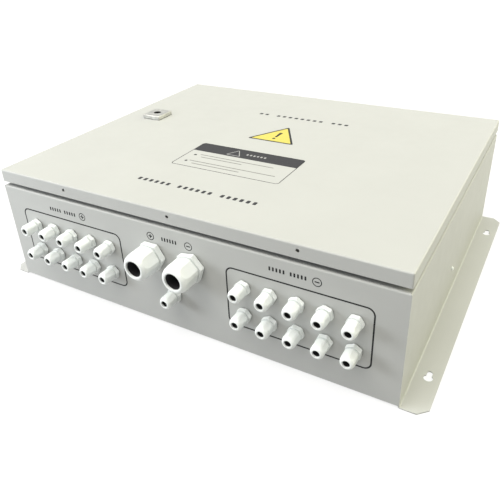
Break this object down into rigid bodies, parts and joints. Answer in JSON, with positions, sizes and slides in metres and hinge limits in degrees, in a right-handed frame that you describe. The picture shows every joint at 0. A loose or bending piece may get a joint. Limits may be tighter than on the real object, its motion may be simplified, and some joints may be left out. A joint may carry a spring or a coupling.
{
  "type": "dc combiner box",
  "caption": "Wall-mounted sheet-metal combiner box with a hinged, lockable door, rows of cable glands along its lower wall, fuse holders, busbars, a breaker and surge protection inside.",
  "frame": {"origin": "centre of the four wall keyholes, on the wall face under the mounting flanges", "axes": "+X to the right across the door, +Y to the top end of the box as it hangs, +Z out of the wall through the door"},
  "size_m": [0.662, 0.54, 0.187],
  "materials": {
    "grey_paint": "satin powder coat with a fine texture",
    "white_nylon": "moulded, satin",
    "black_rubber": "matt",
    "foam": "poured foam, matt",
    "zinc_steel": "zinc plated",
    "lock_metal": "satin die-cast zinc",
    "device_plastic": "moulded, fine texture",
    "carrier_plastic": "moulded, fine texture",
    "toggle_plastic": "moulded",
    "cartridge_plastic": "moulded, fine texture",
    "copper": "drawn copper",
    "brass": "drawn brass",
    "insulator_resin": "moulded resin",
    "dark_print": "screen print",
    "yellow_print": "printed label"
  },
  "bodies": {
    "enclosure": {"back_panel": "grey_paint", "body_earth_stud": "zinc_steel", "breaker_case": "device_plastic", "breaker_terminal_screws": "zinc_steel", "busbar_insulators": "insulator_resin", "busbar_screws": "zinc_steel", "earth_bar": "brass", "earth_bar_screws": "zinc_steel", "fuse_bases": "device_plastic", "gland_wall": "grey_paint", "hinge_body_leaves": "zinc_steel", "hinge_pins": "zinc_steel", "large_gland_bodies": "white_nylon", "large_gland_locknuts": "white_nylon", "large_gland_nuts": "white_nylon", "large_gland_seals": "black_rubber", "large_gland_washers": "black_rubber", "left_side": "grey_paint", "main_rail": "zinc_steel", "mounting_plate": "zinc_steel", "negative_busbar": "copper", "plate_nuts": "zinc_steel", "plate_studs": "zinc_steel", "positive_busbar": "copper", "rail_screws": "zinc_steel", "right_side": "grey_paint", "side_hole_plug": "white_nylon", "small_gland_bodies": "white_nylon", "small_gland_locknuts": "white_nylon", "small_gland_nuts": "white_nylon", "small_gland_seals": "black_rubber", "small_gland_washers": "black_rubber", "surge_base": "device_plastic", "top_wall": "grey_paint", "upper_rail": "zinc_steel"},
    "door": {"door_panel": "grey_paint", "door_gasket": "foam", "door_stiffeners": "grey_paint", "hinge_door_leaves": "zinc_steel", "lock_housing": "lock_metal", "lock_gasket": "black_rubber", "lock_nut": "zinc_steel", "door_earth_stud": "zinc_steel"},
    "lock": {"lock_barrel": "zinc_steel", "lock_cam": "zinc_steel", "lock_cam_screw": "zinc_steel"},
    "toggle": {"breaker_toggle": "toggle_plastic"},
    "carrier_1": {"fuse_carrier_1": "carrier_plastic"},
    "carrier_2": {"fuse_carrier_2": "carrier_plastic"},
    "carrier_3": {"fuse_carrier_3": "carrier_plastic"},
    "carrier_4": {"fuse_carrier_4": "carrier_plastic"},
    "carrier_5": {"fuse_carrier_5": "carrier_plastic"},
    "carrier_6": {"fuse_carrier_6": "carrier_plastic"},
    "carrier_7": {"fuse_carrier_7": "carrier_plastic"},
    "carrier_8": {"fuse_carrier_8": "carrier_plastic"},
    "carrier_9": {"fuse_carrier_9": "carrier_plastic"},
    "carrier_10": {"fuse_carrier_10": "carrier_plastic"},
    "cartridge_1": {"surge_cartridge_1": "cartridge_plastic"},
    "cartridge_2": {"surge_cartridge_2": "cartridge_plastic"},
    "cartridge_3": {"surge_cartridge_3": "cartridge_plastic"}
  },
  "joints": [
    {"name": "door_hinge", "type": "hinge", "parent": "enclosure", "child": "door", "pos_m": [0.289, 0, 0.171], "axis": [0, 1, 0], "range_deg": [0, 105]},
    {"name": "lock_turn", "type": "hinge", "parent": "door", "child": "lock", "pos_m": [-0.24, 0.04, 0.15], "axis": [0, 0, 1], "range_deg": [0, 90]},
    {"name": "breaker_switch", "type": "hinge", "parent": "enclosure", "child": "toggle", "pos_m": [0, -0.06, 0.082], "axis": [1, 0, 0], "range_deg": [0, 80]},
    {"name": "fuse_1_swing", "type": "hinge", "parent": "enclosure", "child": "carrier_1", "pos_m": [-0.246, -0.077, 0.064], "axis": [1, 0, 0], "range_deg": [0, 90]},
    {"name": "fuse_2_swing", "type": "hinge", "parent": "enclosure", "child": "carrier_2", "pos_m": [-0.228, -0.077, 0.064], "axis": [1, 0, 0], "range_deg": [0, 90]},
    {"name": "fuse_3_swing", "type": "hinge", "parent": "enclosure", "child": "carrier_3", "pos_m": [-0.21, -0.077, 0.064], "axis": [1, 0, 0], "range_deg": [0, 90]},
    {"name": "fuse_4_swing", "type": "hinge", "parent": "enclosure", "child": "carrier_4", "pos_m": [-0.192, -0.077, 0.064], "axis": [1, 0, 0], "range_deg": [0, 90]},
    {"name": "fuse_5_swing", "type": "hinge", "parent": "enclosure", "child": "carrier_5", "pos_m": [-0.174, -0.077, 0.064], "axis": [1, 0, 0], "range_deg": [0, 90]},
    {"name": "fuse_6_swing", "type": "hinge", "parent": "enclosure", "child": "carrier_6", "pos_m": [-0.156, -0.077, 0.064], "axis": [1, 0, 0], "range_deg": [0, 90]},
    {"name": "fuse_7_swing", "type": "hinge", "parent": "enclosure", "child": "carrier_7", "pos_m": [-0.138, -0.077, 0.064], "axis": [1, 0, 0], "range_deg": [0, 90]},
    {"name": "fuse_8_swing", "type": "hinge", "parent": "enclosure", "child": "carrier_8", "pos_m": [-0.12, -0.077, 0.064], "axis": [1, 0, 0], "range_deg": [0, 90]},
    {"name": "fuse_9_swing", "type": "hinge", "parent": "enclosure", "child": "carrier_9", "pos_m": [-0.102, -0.077, 0.064], "axis": [1, 0, 0], "range_deg": [0, 90]},
    {"name": "fuse_10_swing", "type": "hinge", "parent": "enclosure", "child": "carrier_10", "pos_m": [-0.084, -0.077, 0.064], "axis": [1, 0, 0], "range_deg": [0, 90]},
    {"name": "cartridge_1_pull", "type": "slide", "parent": "enclosure", "child": "cartridge_1", "axis": [0, 0, 1], "range_m": [0, 0.04]},
    {"name": "cartridge_2_pull", "type": "slide", "parent": "enclosure", "child": "cartridge_2", "axis": [0, 0, 1], "range_m": [0, 0.04]},
    {"name": "cartridge_3_pull", "type": "slide", "parent": "enclosure", "child": "cartridge_3", "axis": [0, 0, 1], "range_m": [0, 0.04]}
  ]
}
